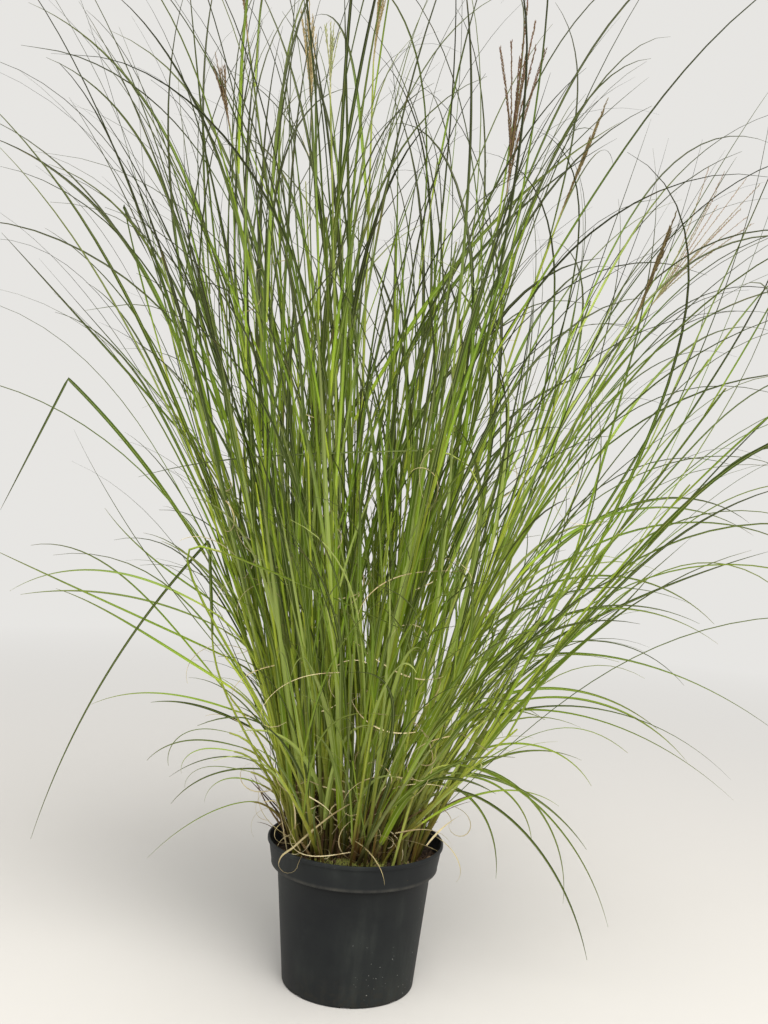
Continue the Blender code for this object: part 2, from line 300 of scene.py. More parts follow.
def crumb_material():
    made, tree, shader = node_material("peat_crumbs")
    _, _, chances = strand_inputs(tree)
    colour = ramp(
        tree, chances[0], (0.0, (0.012, 0.007, 0.004)), (0.6, (0.050, 0.030, 0.018)),
        (0.88, (0.12, 0.075, 0.040)), (1.0, (0.30, 0.22, 0.13)),
    )
    dressed(tree, shader, colour, 0.95)
    return made


def moss_material():
    made, tree, shader = node_material("moss")
    _, along, chances = strand_inputs(tree)
    colour = mixed(tree, chances[0], (0.10, 0.13, 0.018), (0.42, 0.44, 0.075))
    colour = mixed(tree, times(tree, along, 0.6), colour, (0.60, 0.62, 0.20))
    dressed(tree, shader, colour, 0.8)
    return made


def culm_material():
    """Waxy sheaths: red-brown and papery at the crown, lime above it, grass green at the top. Culms deep in
    the clump are drawn darker as painted shade, and the dark brown at their feet is partly painted shade
    too.
    """
    made, tree, shader = node_material("sheathed_culm")
    where, height = object_place(tree)
    across, along, chances = strand_inputs(tree)
    # Along the height: the dark brown at the very foot is partly the culms' own red-brown and partly
    # painted shade for the depths of the crown.
    colour = ramp(
        tree, between(tree, height, SOIL_TOP, 1.05),
        (0.0, (0.060, 0.036, 0.010)), (0.035, (0.120, 0.100, 0.022)), (0.09, (0.240, 0.260, 0.036)),
        (0.18, (0.340, 0.400, 0.052)), (0.42, (0.270, 0.370, 0.034)), (0.75, (0.140, 0.210, 0.018)),
        (1.0, (0.080, 0.105, 0.014)),
    )
    # Partly painted shade: culms standing deep in the clump are drawn darker. The rest of this darkening is
    # their own tone varying.
    dark_tone_and_shade = times(tree, between(tree, chances[0], 0.25, 0.95), 0.85)
    colour = mixed(tree, dark_tone_and_shade, colour, (0.035, 0.055, 0.006))
    lime = between(tree, chances[1], 0.72, 1.0)
    colour = mixed(tree, times(tree, lime, 0.7), colour, (0.500, 0.570, 0.050))
    greyed = times(tree, between(tree, chances[2], 0.55, 0.95), 0.55)
    colour = mixed(tree, greyed, colour, (0.260, 0.310, 0.130))
    low = falling(tree, height, SOIL_TOP + 0.02, SOIL_TOP + 0.14)
    patches = between(tree, cloudy(tree, where, 34.0, 4.0, 0.6, (1.0, 1.0, 0.25)), 0.46, 0.60)
    rusty = times(tree, times(tree, low, patches), chances[1])
    colour = mixed(tree, rusty, colour, (0.110, 0.030, 0.013))
    veins = math_node(tree, "SINE", times(tree, across, 88.0))
    colour = mixed(
        tree, times(tree, between(tree, veins, 0.2, 1.0), 0.16), colour,
        (0.36, 0.40, 0.09),
    )
    inside = math_node(tree, "FRACT", along)
    collar = between(tree, inside, 0.955, 0.985)
    colour = mixed(tree, times(tree, collar, 0.45), colour, (0.30, 0.26, 0.10))
    foot = falling(tree, inside, 0.0, 0.05)
    colour = mixed(tree, times(tree, foot, 0.35), colour, (0.06, 0.065, 0.015))
    dressed(tree, shader, colour, 0.48, 0.16)
    bump(tree, shader, veins, 0.10, 0.0003)
    return made


def blade_material():
    """Long blades: pale at the sheath, grass green, darker and greyer high up, and a pale midrib. The
    darkening high up is partly painted shade, and the darkest and palest strands are partly painted shade
    and painted highlight.
    """
    made, tree, shader = node_material("grass_blade")
    where, height = object_place(tree)
    across, along, chances = strand_inputs(tree)
    colour = ramp(
        tree, along,
        (0.0, (0.320, 0.405, 0.028)), (0.14, (0.205, 0.325, 0.016)), (0.40, (0.130, 0.240, 0.009)),
        (0.75, (0.075, 0.110, 0.012)), (0.95, (0.050, 0.048, 0.016)), (1.0, (0.100, 0.058, 0.030)),
    )
    yellow = times(tree, between(tree, chances[1], 0.6, 1.0), 0.40)
    colour = mixed(tree, yellow, colour, (0.250, 0.330, 0.014))
    low = falling(tree, height, 0.26, 0.62)
    colour = mixed(tree, times(tree, low, 0.40), colour, (0.280, 0.360, 0.024))
    greyed = times(tree, between(tree, chances[2], 0.55, 0.95), 0.45)
    colour = mixed(tree, greyed, colour, (0.215, 0.265, 0.095))
    # Partly painted highlight: strands drawn pale grey-lime stand in for lit, sheened blades, besides the
    # paler tone that some blades have.
    pale = falling(tree, chances[0], 0.08, 0.28)
    colour = mixed(tree, times(tree, pale, 0.60), colour, (0.450, 0.530, 0.160))
    # Partly painted shade: strands drawn dark stand in for shaded blades, chiefly those that start deep
    # inside the clump and many slim ones. The rest is their own darker tone.
    dark_tone_and_shade = times(tree, between(tree, chances[0], 0.38, 0.92), 0.90)
    colour = mixed(tree, dark_tone_and_shade, colour, (0.016, 0.027, 0.004))
    # Painted shade: the free upper parts of blades that reach high are painted near black, as they look in
    # shadow against the bright backdrop. Sturdy blades are spared part of it, and the midrib shows less
    # there.
    sturdy = times(tree, between(tree, chances[1], 0.68, 0.80), 0.36)
    free_painted_shade = times(tree, between(tree, along, 0.12, 0.56), between(tree, height, 0.46, 0.92))
    free_painted_shade = times(tree, free_painted_shade, math_node(tree, "SUBTRACT", 1.0, sturdy))
    colour = mixed(tree, times(tree, free_painted_shade, 0.93), colour, (0.020, 0.021, 0.013))
    from_rib = math_node(tree, "ABSOLUTE", math_node(tree, "SUBTRACT", across, 0.5))
    rib = falling(tree, from_rib, 0.03, 0.09)
    showing = math_node(tree, "SUBTRACT", 0.55, times(tree, free_painted_shade, 0.35))
    rib = times(tree, rib, showing)
    colour = mixed(tree, rib, colour, (0.42, 0.48, 0.17))
    veins = math_node(tree, "SINE", times(tree, across, 95.0))
    colour = mixed(tree, between(tree, veins, 0.0, 8.0), colour, (0.24, 0.30, 0.05))
    worn = between(tree, cloudy(tree, where, 16.0, 3.0), 0.60, 0.74)
    worn = times(tree, worn, times(tree, chances[2], 0.5))
    colour = mixed(tree, worn, colour, (0.16, 0.11, 0.03))
    dressed(tree, shader, colour, 0.50, 0.13)
    bump(tree, shader, veins, 0.10, 0.0002)
    return made


def straw_material(name, dull, pale, stain):
    made, tree, shader = node_material(name)
    where, _ = object_place(tree)
    across, along, chances = strand_inputs(tree)
    colour = mixed(tree, chances[0], dull, pale)
    colour = mixed(tree, between(tree, cloudy(tree, where, 60.0), 0.5, 0.75), colour, stain)
    veins = math_node(tree, "SINE", times(tree, across, 60.0))
    colour = mixed(tree, between(tree, veins, 0.2, 4.0), colour, pale)
    dressed(tree, shader, colour, 0.7, 0.25)
    bump(tree, shader, veins, 0.2, 0.0003)
    return made


def panicle_material(name, axis, tip, pale):
    """Fine dry branches: their own colour at the foot, shading out to the tips."""
    made, tree, shader = node_material(name)
    _, along, chances = strand_inputs(tree)
    colour = mixed(tree, along, axis, tip)
    colour = mixed(tree, math_node(tree, "POWER", chances[0], 2.0), colour, pale)
    dressed(tree, shader, colour, 0.75)
    return made


# ---------------------------------------------------------------- slim swept shapes
def unit(vectors):
    return vectors / np.maximum(np.linalg.norm(vectors, axis=-1, keepdims=True), 1e-12)


def smooth_path(points, count):
    """A smooth path of this many stations through a few points."""
    points = np.asarray(points, float)
    gaps = np.linalg.norm(np.diff(points, axis=0), axis=1)
    at = np.concatenate([[0.0], np.cumsum(gaps)])
    slope = np.gradient(points, at, axis=0)
    new = np.linspace(0.0, at[-1], count)
    left = np.clip(np.searchsorted(at, new, side="right") - 1, 0, len(gaps) - 1)
    width = gaps[left][:, None]
    t = ((new - at[left]) / gaps[left])[:, None]
    start, end = points[left], points[left + 1]
    leaving, coming = slope[left] * width, slope[left + 1] * width
    return (
        (2 * t**3 - 3 * t**2 + 1) * start + (t**3 - 2 * t**2 + t) * leaving
        + (3 * t**2 - 2 * t**3) * end + (t**3 - t**2) * coming
    )


def sides_along(path, first_side, twist):
    """Across and face directions at each station, carried along the path, then twisted."""
    tangents = unit(np.gradient(path, axis=0))
    sides = np.empty_like(path)
    side = np.asarray(first_side, float)
    for index, tangent in enumerate(tangents):
        side = side - tangent * np.dot(side, tangent)
        side = side / max(np.linalg.norm(side), 1e-9)
        sides[index] = side
    faces = np.cross(sides, tangents)
    turn = np.asarray(twist, float)[:, None]
    return sides * np.cos(turn) + faces * np.sin(turn), faces * np.cos(turn) - sides * np.sin(turn)


def round_section(corners):
    angles = np.arange(corners) * math.tau / corners
    return np.stack([-np.cos(angles), np.sin(angles)], 1), np.arange(corners + 1) / corners


def blade_outline(fold, thickness):
    """A shallow V: edge, upper keel, edge, lower keel. Widths are shares of the half width."""
    corners = np.array([(-1.0, fold), (0.0, thickness), (1.0, fold), (0.0, -thickness)])
    return corners, np.array([0.0, 0.5, 1.0, 0.5, 0.0])


class Sheaf:
    """Gathers many slim closed shapes into one mesh, each with its own tint and its own strip of map."""

    def __init__(self):
        self.points, self.quads, self.caps = [], [], []
        self.across, self.along, self.strip, self.tints = [], [], [], []
        self.base, self.strands = 0, 0

    def add(self, path, sides, faces, widths, depths, outline, tint, along=None):
        corners, across = outline
        count, ring = len(path), len(corners)
        widths = np.broadcast_to(widths, (count,))[:, None, None]
        depths = np.broadcast_to(depths, (count,))[:, None, None]
        points = (
            path[:, None]
            + sides[:, None] * corners[None, :, 0, None] * widths
            + faces[:, None] * corners[None, :, 1, None] * depths
        )
        self.points.append(points.reshape(-1, 3))
        step, corner = np.meshgrid(np.arange(count - 1), np.arange(ring), indexing="ij")
        step, corner = step.ravel(), corner.ravel()
        after = (corner + 1) % ring
        low, high = self.base + step * ring, self.base + (step + 1) * ring
        self.quads.append(np.stack([low + corner, low + after, high + after, high + corner], 1))
        share = np.linspace(0.0, 1.0, count)
        own = share if along is None else along
        self.across.append(np.stack([across[corner], across[corner + 1]] * 2, 1)[:, [0, 1, 3, 2]])
        self.along.append(np.stack([own[step], own[step], own[step + 1], own[step + 1]], 1))
        turned = np.stack([corner, corner + 1, corner + 1, corner], 1) / ring
        upward = np.stack([share[step], share[step], share[step + 1], share[step + 1]], 1)
        strip = np.stack([turned, upward], 2)
        self.strip.append((strip, self.strands))
        self.caps.append((self.base, ring, self.strands, own[0], own[-1], self.base + (count - 1) * ring))
        self.tints.append(np.tile(tint, (count * ring, 1)))
        self.base += count * ring
        self.strands += 1

    def mesh_object(self, name, smooth=60):
        """One object, with a map along the strands, one strip of bake map each, and their tints."""
        points = np.concatenate(self.points)
        quads = np.concatenate(self.quads)
        loops, starts, sizes, strand_uv, strip_uv = [], [], [], [], []
        loops.append(quads.ravel())
        sizes.append(np.full(len(quads), 4))
        across, along = np.concatenate(self.across), np.concatenate(self.along)
        strand_uv.append(np.stack([across, along], 2).reshape(-1, 2))
        for strip, index in self.strip:
            placed = strip * (0.86, 0.96) + (0.07, 0.02)
            placed[..., 0] = (index + placed[..., 0]) / self.strands
            strip_uv.append(placed.reshape(-1, 2))
        for first, ring, index, low, high, last in self.caps:
            loops.append(np.concatenate([first + np.arange(ring)[::-1], last + np.arange(ring)]))
            sizes.append(np.array([ring, ring]))
            around = np.linspace(0.1, 0.9, ring)
            strand_uv.append(np.stack([np.tile(around, 2), np.repeat([low, high], ring)], 1))
            rims = np.stack([(index + np.tile(around, 2)) / self.strands, np.repeat([0.01, 0.99], ring)], 1)
            rims[:, 1] += np.tile(np.linspace(-0.004, 0.004, ring) ** 2 * 400, 2)
            strip_uv.append(rims)
        loops = np.concatenate(loops)
        sizes = np.concatenate(sizes)
        starts = np.concatenate([[0], np.cumsum(sizes)[:-1]])
        mesh = bpy.data.meshes.new(name)
        mesh.vertices.add(len(points))
        mesh.vertices.foreach_set("co", points.astype(np.float32).ravel())
        mesh.loops.add(len(loops))
        mesh.loops.foreach_set("vertex_index", loops.astype(np.int32))
        mesh.polygons.add(len(sizes))
        mesh.polygons.foreach_set("loop_start", starts.astype(np.int32))
        mesh.polygons.foreach_set("loop_total", sizes.astype(np.int32))
        mesh.update(calc_edges=True)
        mesh.validate()
        for map_name, values in (("strand", strand_uv), ("OFBake", strip_uv)):
            layer = mesh.uv_layers.new(name=map_name)
            layer.uv.foreach_set("vector", np.concatenate(values).astype(np.float32).ravel())
        tint = mesh.attributes.new("tint", "FLOAT_COLOR", "POINT")
        tint.data.foreach_set("color", np.concatenate(self.tints).astype(np.float32).ravel())
        piece = bpy.data.objects.new(name, mesh)
        bpy.context.scene.collection.objects.link(piece)
        only(piece)
        bpy.ops.object.shade_smooth_by_angle(angle=math.radians(smooth))
        return piece


def drawn_tint(dry=0.0, dark=0.0):
    """A strand's tint: how dark, how yellow and how dry it is. The darkness is partly the strand's own tone
    and partly painted shade for strands inside the clump.
    """
    drawn = DRAWS.random(3)
    return np.array([max(dark, drawn[0]), drawn[1], max(dry, drawn[2] ** 2), 1.0])


def tube(sheaf, path, widths, depths=None, corners=6, tint=None, along=None, spin=0.0):
    side = np.cross(path[1] - path[0], (math.cos(spin), math.sin(spin), 0.02))
    sides, faces = sides_along(path, side, np.zeros(len(path)))
    depths = widths if depths is None else depths
    sheaf.add(path, sides, faces, widths, depths, round_section(corners), tint, along)


# ---------------------------------------------------------------- pot
def draw_up(name, stations, steps):
    """A turned shape: a disc at the first station, drawn out ring by ring, and closed at the last."""
    radius, height = stations[0]
    bpy.ops.mesh.primitive_circle_add(
        vertices=steps, radius=radius, fill_type="NGON", location=(0.0, 0.0, height)
    )
    thing = bpy.context.active_object
    thing.name = name
    only(thing)
    bpy.ops.object.transform_apply(location=True)
    bpy.ops.object.mode_set(mode="EDIT")
    bpy.ops.mesh.select_mode(type="EDGE")
    bpy.ops.mesh.select_all(action="SELECT")
    bpy.ops.mesh.delete(type="ONLY_FACE")
    bpy.ops.mesh.select_all(action="SELECT")
    bpy.ops.mesh.edge_face_add()
    bpy.ops.mesh.select_all(action="SELECT")
    for next_radius, next_height in stations[1:]:
        bpy.ops.mesh.extrude_edges_move(
            TRANSFORM_OT_translate={"value": (0.0, 0.0, next_height - height)}
        )
        grow = next_radius / radius
        bpy.ops.transform.resize(value=(grow, grow, 1.0), center_override=(0.0, 0.0, next_height))
        radius, height = next_radius, next_height
    bpy.ops.mesh.edge_face_add()
    bpy.ops.mesh.select_all(action="SELECT")
    bpy.ops.mesh.remove_doubles(threshold=0.00001)
    bpy.ops.mesh.normals_make_consistent(inside=False)
    bpy.ops.object.mode_set(mode="OBJECT")
    return thing


def rounded(centre, radius, first, last, steps):
    """Stations of a round edge, from one angle to another, in degrees from level outwards."""
    angles = np.radians(np.linspace(first, last, steps))
    return [(centre[0] + radius * math.cos(a), centre[1] + radius * math.sin(a)) for a in angles]


def body_radius(height):
    return BASE_RADIUS + (BODY_TOP_RADIUS - BASE_RADIUS) * height / COLLAR_FOOT


def bored(thing, cutters):
    """Cuts these away, and removes them."""
    for cutter in cutters:
        cut = thing.modifiers.new("Cut", "BOOLEAN")
        cut.operation = "DIFFERENCE"
        cut.object = cutter
    apply_modifiers(thing)
    for cutter in cutters:
        bpy.data.objects.remove(cutter, do_unlink=True)


def drain_cutters():
    """A hole through the floor and a notch through the foot ring, by turns round the base."""
    cutters = []
    for index in range(DRAIN_COUNT):
        angle = math.tau * (index + 0.5) / DRAIN_COUNT
        at = (DRAIN_CIRCLE * math.cos(angle), DRAIN_CIRCLE * math.sin(angle), FLOOR / 2)
        deselect()
        bpy.ops.mesh.primitive_cylinder_add(
            vertices=24, radius=DRAIN_RADIUS, depth=3 * FLOOR, location=at
        )
        cutters.append(bpy.context.active_object)
        angle -= math.pi / DRAIN_COUNT + math.pi / 2
        at = (NOTCH_CIRCLE * math.cos(angle), NOTCH_CIRCLE * math.sin(angle), 0.0)
        deselect()
        bpy.ops.mesh.primitive_cube_add(size=1.0, location=at, rotation=(0.0, 0.0, angle))
        cutters.append(bpy.context.active_object)
        cutters[-1].scale = NOTCH_SIZE
    return cutters


def make_pot(finish):
    lip_foot = POT_HEIGHT - LIP_HEIGHT
    inner = WALL
    stations = [(body_radius(FLOOR) - inner - 0.003, FLOOR)]
    stations += rounded((body_radius(FLOOR) - inner - 0.003, FLOOR + 0.003), 0.003, -60, 0, 4)
    stations += [
        (BODY_TOP_RADIUS - inner, COLLAR_FOOT - 0.001),
        (BODY_TOP_RADIUS - inner + 0.0005, COLLAR_FOOT + 0.0016),
        (COLLAR_FOOT_RADIUS - inner - 0.001, COLLAR_FOOT + 0.0024),
        (COLLAR_FOOT_RADIUS - inner, COLLAR_FOOT + 0.0036),
        (COLLAR_TOP_RADIUS - inner, lip_foot),
    ]
    stations += rounded((RIM_RADIUS - 0.0016, POT_HEIGHT - 0.0016), 0.0016, 180, 0, 9)
    stations += [(RIM_RADIUS, lip_foot + 0.0008)]
    stations += rounded((RIM_RADIUS - 0.0008, lip_foot + 0.0006), 0.0008, -10, -90, 4)
    stations += [
        (COLLAR_TOP_RADIUS + 0.0002, lip_foot - 0.0003),
        (COLLAR_TOP_RADIUS, lip_foot - 0.0014),
        ((COLLAR_TOP_RADIUS + COLLAR_FOOT_RADIUS) / 2, (lip_foot + COLLAR_FOOT) / 2),
        (COLLAR_FOOT_RADIUS + 0.0002, COLLAR_FOOT + 0.0034),
    ]
    stations += rounded((COLLAR_FOOT_RADIUS - 0.0010, COLLAR_FOOT + 0.0014), 0.0014, 0, -90, 5)
    stations += [
        (BODY_TOP_RADIUS + 0.0008, COLLAR_FOOT + 0.0001),
        (BODY_TOP_RADIUS, COLLAR_FOOT - 0.0010),
        (body_radius(COLLAR_FOOT * 0.66), COLLAR_FOOT * 0.66),
        (body_radius(COLLAR_FOOT * 0.33), COLLAR_FOOT * 0.33),
        (body_radius(0.004), 0.004),
    ]
    stations += rounded((BASE_RADIUS - 0.0022, 0.0024), 0.0024, -10, -90, 5)
    stations += [
        (BASE_RADIUS - 0.0075, 0.0),
        (BASE_RADIUS - 0.0085, 0.0030),
        (0.033, 0.0030),
        (0.032, 0.0),
    ]
    pot = draw_up("nursery_pot", stations, ROUND_STEPS)
    bored(pot, drain_cutters())
    only(pot)
    bpy.ops.object.shade_smooth_by_angle(angle=math.radians(38))
    return finished(pot, "pot_plastic", finish, "pot")


# ---------------------------------------------------------------- compost, crumbs and moss
def soil_height(x, y):
    """The lie of the compost: lumpy, and a little lower towards the wall."""
    lumps = noise.noise(Vector((x, y, 0.0)) * 38.0) * 0.0022
    lumps += noise.noise(Vector((x, y, 4.0)) * 110.0) * 0.0011
    out = math.hypot(x, y)
    return SOIL_TOP - 0.0006 + lumps - 0.006 * max(0.0, out - 0.090) / 0.018


def make_compost(finish):
    inside = WALL + 0.0005
    top_radius = COLLAR_FOOT_RADIUS + 0.0016 - inside
    stations = [
        (body_radius(FLOOR) - inside - 0.002, FLOOR + 0.0005),
        (body_radius(FLOOR) - inside, FLOOR + 0.0025),
        (BODY_TOP_RADIUS - inside, COLLAR_FOOT),
        (BODY_TOP_RADIUS - inside, COLLAR_FOOT + 0.0022),
        (COLLAR_FOOT_RADIUS - inside - 0.0010, COLLAR_FOOT + 0.0042),
        (top_radius, SOIL_TOP - 0.005),
    ]
    rings = 26
    stations += [(top_radius * (1 - index / rings), SOIL_TOP - 0.004) for index in range(1, rings)]
    compost = draw_up("compost_mix", stations, ROUND_STEPS)
    for vertex in compost.data.vertices:
        if vertex.co.z > SOIL_TOP - 0.0045:
            vertex.co.z = soil_height(vertex.co.x, vertex.co.y)
    only(compost)
    bpy.ops.object.shade_smooth_by_angle(angle=math.radians(50))
    return finished(compost, "compost", finish, "compost")


def scattered(count, spread):
    """Places over the compost, in a sunflower's order and shaken up a little."""
    places = []
    for index in range(count):
        out = spread * math.sqrt((index + 0.5) / count)
        angle = index * GOLDEN_ANGLE
        x = out * math.cos(angle) + DRAWS.normal(0.0, 0.002)
        y = out * math.sin(angle) + DRAWS.normal(0.0, 0.002)
        if math.hypot(x, y) < spread:
            places.append((x, y))
    return places


def make_crumbs(finish):
    """Lumps of peat and bits of bark, pressed into the compost."""
    sheaf = Sheaf()
    for x, y in scattered(760, 0.104):
        size = 0.0008 + 0.0022 * DRAWS.random() ** 2
        along = unit(DRAWS.normal(size=3) * (1.0, 1.0, 0.5))
        middle = np.array([x, y, soil_height(x, y) + 0.3 * size])
        length = size * (1.0 + 1.6 * DRAWS.random())
        path = middle + np.outer(np.array([-1.0, -0.6, 0.3, 1.0]) * length, along)
        widths = size * np.array([0.25, 0.9, 1.0, 0.3]) * (0.8 + 0.4 * DRAWS.random(4))
        tube(sheaf, path, widths, 0.75 * widths, 5, drawn_tint(), spin=6.0 * DRAWS.random())
    return finished(sheaf.mesh_object("peat_crumbs"), "compost", finish)


def make_moss(finish):
    """Small cushions of moss, mostly at the front, each of a few dozen tiny leaves."""
    sheaf = Sheaf()
    for index in range(64):
        bearing = -math.pi / 2 + DRAWS.normal(0.0, 0.60)
        out = DRAWS.uniform(0.048, 0.098)
        centre = np.array([out * math.cos(bearing), out * math.sin(bearing)])
        for _ in range(34):
            x, y = centre + DRAWS.normal(0.0, 0.0032, 2)
            if math.hypot(x, y) > 0.105:
                continue
            foot = np.array([x, y, soil_height(x, y) - 0.0006])
            lean = DRAWS.normal(0.0, 0.55, 2)
            tip = foot + unit(np.array([lean[0], lean[1], 1.0])) * DRAWS.uniform(0.0022, 0.0060)
            middle = (foot + tip) / 2 + np.array([lean[0], lean[1], 0.0]) * 0.0004
            widths = np.array([0.0004, 0.0006, 0.0001])
            tube(sheaf, np.array([foot, middle, tip]), widths, 0.6 * widths, 3, drawn_tint())
    return finished(sheaf.mesh_object("moss"), "compost", finish)


# ---------------------------------------------------------------- culms
def ring_centres(node):
    """The middles of a swept CAD solid's rings, from its foot to its tip."""
    mesh = frame["nodes"][node].data
    points = np.unique(np.round(np.array([v.co for v in mesh.vertices], float), 6), axis=0)
    centres = []
    while len(points):
        near = np.linalg.norm(points - points[0], axis=1) < 0.0115
        centres.append(points[near].mean(axis=0))
        points = points[~near]
    centres = np.array(centres)
    order = [int(np.argmin(centres[:, 2] + np.hypot(centres[:, 0], centres[:, 1])))]
    while len(order) < len(centres):
        gaps = np.linalg.norm(centres - centres[order[-1]], axis=1)
        gaps[order] = np.inf
        order.append(int(np.argmin(gaps)))
    return centres[order]


def culm_path(base, top, count=22):
    """Leaning from the crown on, and a little further over towards its top."""
    share = np.linspace(0.0, 1.0, count)
    path = np.empty((count, 3))
    path[:, :2] = np.asarray(base)[:2] + np.outer(share**CULM_BEND, np.subtract(top[:2], base[:2]))
    path[:, 2] = base[2] + share * (top[2] - base[2])
    return path


class Tiller:
    """One shoot: its culm's path, its blades, and the bearing of the plane that they lie in."""

    def __init__(self, path, blades, length, droop, girth=1.0):
        self.path = path
        self.blades = blades
        self.length = length
        self.droop = droop
        self.girth = girth
        lean = path[-1][:2] - path[0][:2]
        self.bearing = math.atan2(lean[1], lean[0]) + DRAWS.normal(0.0, 0.5)
        steps = np.linalg.norm(np.diff(path, axis=0), axis=1)
        self.run = np.concatenate([[0.0], np.cumsum(steps)])

    def at(self, share):
        goal = share * self.run[-1]
        point, ahead, behind = (
            np.array([np.interp(goal + step, self.run, self.path[:, axis]) for axis in range(3)])
            for step in (0.0, 0.004, -0.004)
        )
        return point, unit(ahead - behind)

    def width_at(self, share):
        """Half the width over the sheaths, which are broad and flat at the crown."""
        return self.girth * (0.0011 + 0.0022 * (1.0 - share) ** 1.2)


# The frame's own culms, and the shoot at which the others are parted into two meshes.
FRAMED_CULMS = 20
CULM_SPLIT = 70

# Fans of extra shoots: how many, the left and right ends of the row of their tops, how far their tops
# spread front and back, the height of a middle top, blades on each, how long those are and how far
# they bend over.
FANS = (
    (24, -0.28, -0.05, 0.25, 1.00, 8, 0.52, 0.9),
    (4, 0.01, 0.08, 0.22, 1.04, 7, 0.44, 0.9),
    (17, 0.06, 0.42, 0.28, 0.97, 7, 0.53, 1.5),
    (22, -0.12, 0.11, 0.20, 0.72, 5, 0.34, 0.9),
    (18, -0.19, -0.07, 0.18, 0.60, 5, 0.27, 1.2),
    (10, 0.09, 0.22, 0.20, 0.52, 4, 0.27, 1.5),
    (6, -0.12, 0.14, -0.28, 0.50, 4, 0.28, 1.2),
    (26, -0.09, 0.10, 0.26, 0.54, 5, 0.28, 1.0),
)


def on_crown(x, y):
    """Where a shoot whose top is over here stands in the crown."""
    out = max(1.0, math.hypot(x, y) / CROWN_RADIUS)
    return x / out, y / out


def grown_tillers():
    """The twenty culms of the frame, then the fans of shoots between and around them."""
    tillers = []
    for index in range(1, FRAMED_CULMS + 1):
        path = smooth_path(ring_centres(f"culm_{index:02d}"), 24)
        path[0, 2] = SOIL_TOP - 0.004
        tillers.append(Tiller(path, 6 if index <= 9 else 7, 0.56, 1.3))
    for count, left, right, depth, height, blades, length, droop in FANS:
        for index in range(count):
            x = left + (right - left) * (index + 0.5) / count + DRAWS.normal(0.0, 0.02)
            y = depth * DRAWS.uniform(-1.0, 1.0) if depth > 0.0 else depth * DRAWS.uniform(0.5, 1.0)
            top = (x, y, height * DRAWS.uniform(0.84, 1.06) - 1.1 * (x * x + y * y))
            foot = on_crown(
                0.30 * x - 0.010 + DRAWS.normal(0.0, 0.013), 0.012 + 0.24 * y + DRAWS.normal(0.0, 0.012)
            )
            path = culm_path((*foot, SOIL_TOP - 0.004), top, 24)
            tillers.append(Tiller(path, blades, length, droop, DRAWS.uniform(0.62, 1.0)))
    return tillers


def shade_at(point):
    """How far inside the clump a point lies, from 0 at its outside to 1 in its middle. This sets how much
    shade is painted on the strands that start there.
    """
    out = math.hypot(point[0], point[1]) / (0.050 + 0.30 * max(0.0, point[2] - SOIL_TOP))
    return max(0.0, 1.0 - out)


def make_culms(tillers, finish):
    """Stems wrapped in sheaths: each sheath swells towards its collar, where its blade leaves."""
    groups = [tillers[:FRAMED_CULMS], tillers[FRAMED_CULMS:CULM_SPLIT], tillers[CULM_SPLIT:]]
    pieces = []
    for number, group in enumerate(groups):
        sheaf = Sheaf()
        for tiller in group:
            sheaths = 7
            steps = sheaths * 5 + 1
            share = np.linspace(0.0, 1.0, steps)
            path = np.array([tiller.at(s)[0] for s in share])
            inside = np.mod(share * sheaths, 1.0)
            swell = 1.0 + 0.13 * inside - 0.10 * (inside < 0.01)
            widths = tiller.width_at(share) * swell
            flat = 0.62 + 0.30 * np.clip(share * 3.0, 0.0, 1.0)
            side = (-math.sin(tiller.bearing), math.cos(tiller.bearing), 0.0)
            sides, faces = sides_along(path, side, np.full(steps, math.pi / 2))
            # Painted shade: culms whose lower part stands deep in the clump get darker tints.
            sheaf.add(
                path, sides, faces, widths, widths * flat, round_section(8),
                drawn_tint(dark=0.6 * shade_at(tiller.at(0.25)[0])), share * sheaths,
            )
        name = f"culms_{number + 1}"
        nodes = [f"culm_{index:02d}" for index in range(1, FRAMED_CULMS + 1)] if number == 0 else []
        pieces.append(finished(sheaf.mesh_object(name), "culm", finish, *nodes))
    return pieces


# ---------------------------------------------------------------- blades
MARGIN = 0.030
LOWEST = np.array(cad_box[0]) - (MARGIN, MARGIN, -0.010)
HIGHEST = np.array(cad_box[1]) + (MARGIN, MARGIN, MARGIN)


def arched(start, heading, bearing, length, droop, power, sway, count=20):
    """A blade's path: it sets off along its culm, then bends out and over under its own weight."""
    out = np.array([math.cos(bearing), math.sin(bearing), 0.0])
    across = np.array([-math.sin(bearing), math.cos(bearing), 0.0])
    step = length / (count - 1)
    path = [np.array(start)]
    way = heading.copy()
    for index in range(count - 1):
        share = (index + 0.5) / (count - 1)
        pull = droop * share**power * (power + 1.0) / (count - 1)
        way = unit(way + pull * (0.75 * out - 0.85 * UP) + sway * across / (count - 1))
        path.append(path[-1] + step * way)
    return np.array(path)


def blade_widths(count, width):
    """Half widths: a little narrow at the sheath, widest a third of the way, drawn to a fine tip."""
    share = np.linspace(0.0, 1.0, count)
    return width * np.clip(0.70 + 1.5 * share, 0.0, 1.0) * (1.0 - share**2.1) + 0.0002


def add_blade(sheaf, path, width, tint, twist=0.0, fold=0.48, turned=0.0):
    """One blade along a path, its upper face towards the sky but for how far it is turned."""
    heading = path[2] - path[0]
    first_side = np.cross(heading, UP + np.array([0.0, 0.001, 0.0]))
    count = len(path)
    turn = turned + twist * np.linspace(0.0, 1.0, count) ** 1.5
    sides, faces = sides_along(path, first_side, turn)
    widths = blade_widths(count, width)
    sheaf.add(path, sides, faces, widths, widths, blade_outline(fold, 0.10), tint)


